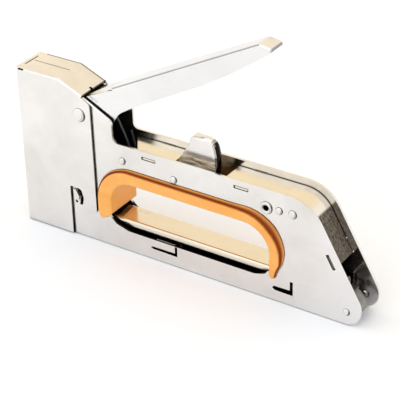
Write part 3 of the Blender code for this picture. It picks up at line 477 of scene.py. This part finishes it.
def soft_rubber(name):
    """Matt black rubber with fine grain and pale dust."""
    look = Shader(name)
    body = look.surface
    grain = look.noise(look.place(), 900.0, 3.0, 0.6)
    dust = look.noise(look.place(), 140.0, 4.0, 0.6)
    look.put(body.inputs["Base Color"], look.mix(look.remap(dust, 0.4, 0.7), *RUBBER_TONES))
    look.put(body.inputs["Roughness"], look.math("MULTIPLY_ADD", grain, 0.2, 0.62))
    look.put(body.inputs["Normal"], look.bump(grain, 0.05 * MM, 0.5))
    return look.material


def sheet_finishes():
    """The plated finish of each piece that differs from plain bright sheet."""
    plate = (PLATE_TONES, PLATE_ROUGHNESS)
    strip = (STRIP_TONES, STRIP_ROUGHNESS)
    deep = (0.0, 0.12)
    shallow = {"cavity": (0.05, 0.30), "crack": 0.0007}
    plates = plated_sheet("plated_plates", *plate, crack=0.001, painted_shade=opening_sill_shade, lit_inside=True)
    strip_metal = plated_sheet("plated_strip", *strip, cavity=deep)
    return {
        "left_side_plate": plates,
        "right_side_plate": plates,
        "head_cover": plated_sheet("plated_cover", *plate, painted_shade=cover_cut_edge_shade),
        "lever": plated_sheet("plated_lever", LEVER_TONES, LEVER_ROUGHNESS, painted_shade=lever_fold_and_tail_shade, **shallow),
        "handle_latch": plated_sheet(
            "plated_latch", *plate, painted_shade=latch_tail_shade, painted_reflection=latch_reflection_streaks, lit_inside=True, **shallow
        ),
        "front_bridge": strip_metal,
        "staple_rail": strip_metal,
        "rear_bridge": plated_sheet("plated_rear_strip", *strip, cavity=deep, painted_dark_reflection=slope_dark_reflection),
        "magazine_cover": plated_sheet("plated_magazine", *strip, cavity=deep, painted_shade=side_wall_shade),
    }


def dress():
    """Gives every CAD node its finished material, and the two springs their smooth coils."""
    bright = plated_sheet("plated_sheet", PLATE_TONES, PLATE_ROUGHNESS)
    rivets = plated_sheet("plated_rivets", PLATE_TONES, PLATE_ROUGHNESS, painted_shade=rivet_rim_shade)
    wire = plain_steel("spring_wire", rgb(0.30, 0.30, 0.31), 0.30)
    finishes = sheet_finishes()
    finishes["finger_grip"] = moulded_plastic("orange_grip")
    finishes["plunger_bumper"] = soft_rubber("bumper_rubber")
    finishes.update(dict.fromkeys(OILED_PIECES, plain_steel("oiled_steel", rgb(0.34, 0.33, 0.31), 0.38)))
    finishes.update(dict.fromkeys(WIRE_PIECES, wire))
    for name, node in NODES.items():
        fallback = rivets if "rivet" in name or "stud" in name else bright
        for slot in node.material_slots:
            slot.material = finishes.get(name, fallback)
    striker_coil(wire)
    # The return spring's wire is drawn near black, a painted shade for the shadow it lies in.
    return_coil(plain_steel("return_wire_painted_dark", rgb(0.07, 0.07, 0.075), 0.35))


# ---------------------------------------------------------------- springs


def coil_points(centre, axis, start, pitch, turns, radius, steps=24):
    """Points of a coil round an axis, 1 for Y and 2 for Z, from start along it."""
    points = []
    for step in range(turns * steps + 1):
        angle = math.tau * step / steps
        along = start + pitch * step / steps
        across = (centre[0] + radius * math.cos(angle), centre[1] + radius * math.sin(angle))
        if axis == 2:
            points.append(Vector((across[0], across[1], along)))
        else:
            points.append(Vector((across[0], along, across[1])))
    return points


def line_points(corners, spacing):
    """Evenly spread points along straight lines, without the last corner."""
    points = []
    for here, there in zip(corners, corners[1:]):
        pieces = max(1, round((there - here).length / spacing))
        points += [here.lerp(there, step / pieces) for step in range(pieces)]
    return points


def wire_stations(path, radius):
    """Point, direction and share of the radius for each ring of a wire, with short domed ends."""
    last = len(path) - 1
    ways = [(path[min(i + 1, last)] - path[max(i - 1, 0)]).normalized() for i in range(len(path))]
    return [
        (path[0] - ways[0] * radius * 0.5, ways[0], 0.6),
        *((point, way, 1.0) for point, way in zip(path, ways)),
        (path[-1] + ways[-1] * radius * 0.5, ways[-1], 0.6),
    ]


def wire_piece(name, path, radius, look, sides=10):
    """A round wire swept along the points."""
    mesh = bpy.data.meshes.new(name)
    work = bmesh.new()
    stations = wire_stations(path, radius)
    side = stations[0][1].orthogonal().normalized()
    rings = []
    for point, way, share in stations:
        side = (side - way * side.dot(way)).normalized()
        other = way.cross(side)
        ring = []
        for corner in range(sides):
            angle = math.tau * corner / sides
            outward = side * math.cos(angle) + other * math.sin(angle)
            ring.append(work.verts.new(point + outward * radius * share))
        rings.append(ring)
    for low, high in zip(rings, rings[1:]):
        for corner in range(sides):
            after = (corner + 1) % sides
            work.faces.new((low[corner], low[after], high[after], high[corner]))
    work.faces.new(rings[0][::-1])
    work.faces.new(rings[-1])
    bmesh.ops.recalc_face_normals(work, faces=work.faces)
    work.to_mesh(mesh)
    work.free()
    mesh.shade_smooth()
    mesh.materials.append(look)
    piece = bpy.data.objects.new(name, mesh)
    bpy.context.scene.collection.objects.link(piece)
    return piece


def striker_coil(look):
    """The main spring as a smooth coil, attached to the body."""
    low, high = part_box("main_spring")
    centre = ((low[0] + high[0]) / 2, 0.0)
    radius = (high[0] - low[0]) / 2 - COIL_WIRE
    start, end = low[2] + COIL_WIRE, high[2] - COIL_WIRE
    path = coil_points(centre, 2, start, (end - start) / COIL_TURNS, COIL_TURNS, radius)
    piece = wire_piece("striker_coil", path, COIL_WIRE, look)
    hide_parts("main_spring")
    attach(piece, "body")
    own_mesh(piece)


def return_coil(look):
    """The lever's torsion spring: its long leg runs to the lever, the coil sits on its rivet."""
    low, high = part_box("lever_return_spring")
    rivet_low, rivet_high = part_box("return_spring_rivet")
    rivet = Vector(((rivet_low[0] + rivet_high[0]) / 2, 0.0, (rivet_low[2] + rivet_high[2]) / 2))
    near = low[1] + RETURN_WIRE
    radius = rivet.z - low[2] - RETURN_WIRE
    lever_end = Vector((low[0] + RETURN_WIRE, near, high[2] - RETURN_WIRE * 0.5))
    knee = Vector((rivet.x - 1.1 * MM, near, rivet.z + 10.8 * MM))
    coil_start = Vector((rivet.x + radius, near, rivet.z + 1.2 * MM))
    coil = coil_points((rivet.x, rivet.z), 1, near, RETURN_PITCH, RETURN_TURNS, radius)
    far = coil[-1].y
    short_leg = [
        Vector((rivet.x + radius - 0.5 * MM, far, rivet.z + 2.8 * MM)),
        Vector((rivet.x + 0.2 * MM, far, rivet.z + 9.2 * MM)),
        Vector((rivet.x - 0.4 * MM, far, rivet.z + 11.6 * MM)),
    ]
    path = line_points([lever_end, knee, coil_start], LEG_SPACING) + coil
    path += line_points(short_leg, LEG_SPACING) + [short_leg[-1]]
    piece = wire_piece("return_coil", path, RETURN_WIRE, look)
    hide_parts("lever_return_spring")
    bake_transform(piece)


# ---------------------------------------------------------------- studio


def area_light(name, place, target, size, power):
    """A rectangular light at the place, turned towards the target."""
    data = bpy.data.lights.new(name, "AREA")
    data.shape = "RECTANGLE"
    data.size, data.size_y = size
    data.energy = power
    light = bpy.data.objects.new(name, data)
    light.location = place
    light.rotation_euler = (Vector(target) - Vector(place)).to_track_quat("-Z", "Y").to_euler()
    bpy.context.scene.collection.objects.link(light)


def studio_floor():
    """A pale floor just below the tool's base."""
    mesh = bpy.data.meshes.new("studio_floor")
    work = bmesh.new()
    bmesh.ops.create_grid(work, x_segments=1, y_segments=1, size=FLOOR_HALF)
    work.to_mesh(mesh)
    work.free()
    floor = bpy.data.objects.new("studio_floor", mesh)
    floor.location = (0.0, 0.0, CAD_BOX[0][2] - FLOOR_GAP)
    bpy.context.scene.collection.objects.link(floor)
    look = Shader("pale_floor")
    grain = look.noise(look.place(), 3.0, 2.0, 0.5)
    look.put(look.surface.inputs["Base Color"], look.mix(grain, *FLOOR_TONES))
    look.surface.inputs["Roughness"].default_value = 0.9
    look.surface.inputs["Specular IOR Level"].default_value = 0.0
    mesh.materials.append(look.material)


def studio_world():
    """A pale room with a warm panel high on the far side, behind a white backdrop."""
    world = bpy.data.worlds.new("studio")
    bpy.context.scene.world = world
    world.use_nodes = True
    tree = world.node_tree
    tree.nodes.clear()

    direction = add_node(tree, "TexCoord").outputs["Generated"]
    dot = add_node(tree, "VectorMath", operation="DOT_PRODUCT")
    tree.links.new(direction, dot.inputs[0])
    dot.inputs[1].default_value = Vector(PANEL_DIRECTION).normalized()
    panel = add_node(tree, "MapRange", interpolation_type="SMOOTHSTEP")
    tree.links.new(dot.outputs["Value"], panel.inputs[0])
    panel.inputs[1].default_value, panel.inputs[2].default_value = PANEL_EDGE

    walls = add_node(tree, "Mix", data_type="RGBA")
    tree.links.new(panel.outputs[0], walls.inputs[0])
    walls.inputs[6].default_value = ROOM
    walls.inputs[7].default_value = WARM_PANEL
    room = add_node(tree, "Background")
    tree.links.new(walls.outputs[2], room.inputs["Color"])
    room.inputs["Strength"].default_value = WORLD_STRENGTH

    backdrop = add_node(tree, "Background")
    backdrop.inputs["Color"].default_value = rgb(1.0, 1.0, 1.0)
    backdrop.inputs["Strength"].default_value = 1.0
    pick = add_node(tree, "MixShader")
    tree.links.new(add_node(tree, "LightPath").outputs["Is Camera Ray"], pick.inputs["Fac"])
    tree.links.new(room.outputs[0], pick.inputs[1])
    tree.links.new(backdrop.outputs[0], pick.inputs[2])
    tree.links.new(pick.outputs[0], add_node(tree, "OutputWorld").inputs["Surface"])


def studio_camera():
    """The camera on the tool's left and tail side, looking down at it."""
    azimuth = math.radians(CAMERA_AZIMUTH)
    elevation = math.radians(CAMERA_ELEVATION)
    level = math.cos(elevation)
    back = Vector((math.sin(azimuth) * level, -math.cos(azimuth) * level, math.sin(elevation)))
    data = bpy.data.cameras.new("photo_camera")
    data.sensor_width = 36.0
    data.lens = CAMERA_LENS
    data.clip_start = 0.05
    data.clip_end = 20.0
    camera = bpy.data.objects.new("photo_camera", data)
    turn = (-back).to_track_quat("-Z", "Y").to_matrix().to_4x4()
    roll = Matrix.Rotation(math.radians(-CAMERA_ROLL), 4, "Z")
    camera.matrix_world = Matrix.Translation(CAMERA_PLACE) @ turn @ roll
    bpy.context.scene.collection.objects.link(camera)
    bpy.context.scene.camera = camera


bpy.context.scene.view_settings.view_transform = "Standard"
dress()
studio_floor()
studio_world()
studio_camera()
area_light("key", (-0.2, -0.5, 1.3), (0.0, 0.0, 0.04), (1.2, 1.0), 2.3)
area_light("front_fill", (-0.9, -0.9, 0.5), (0.0, 0.0, 0.03), (1.0, 0.8), 0.7)
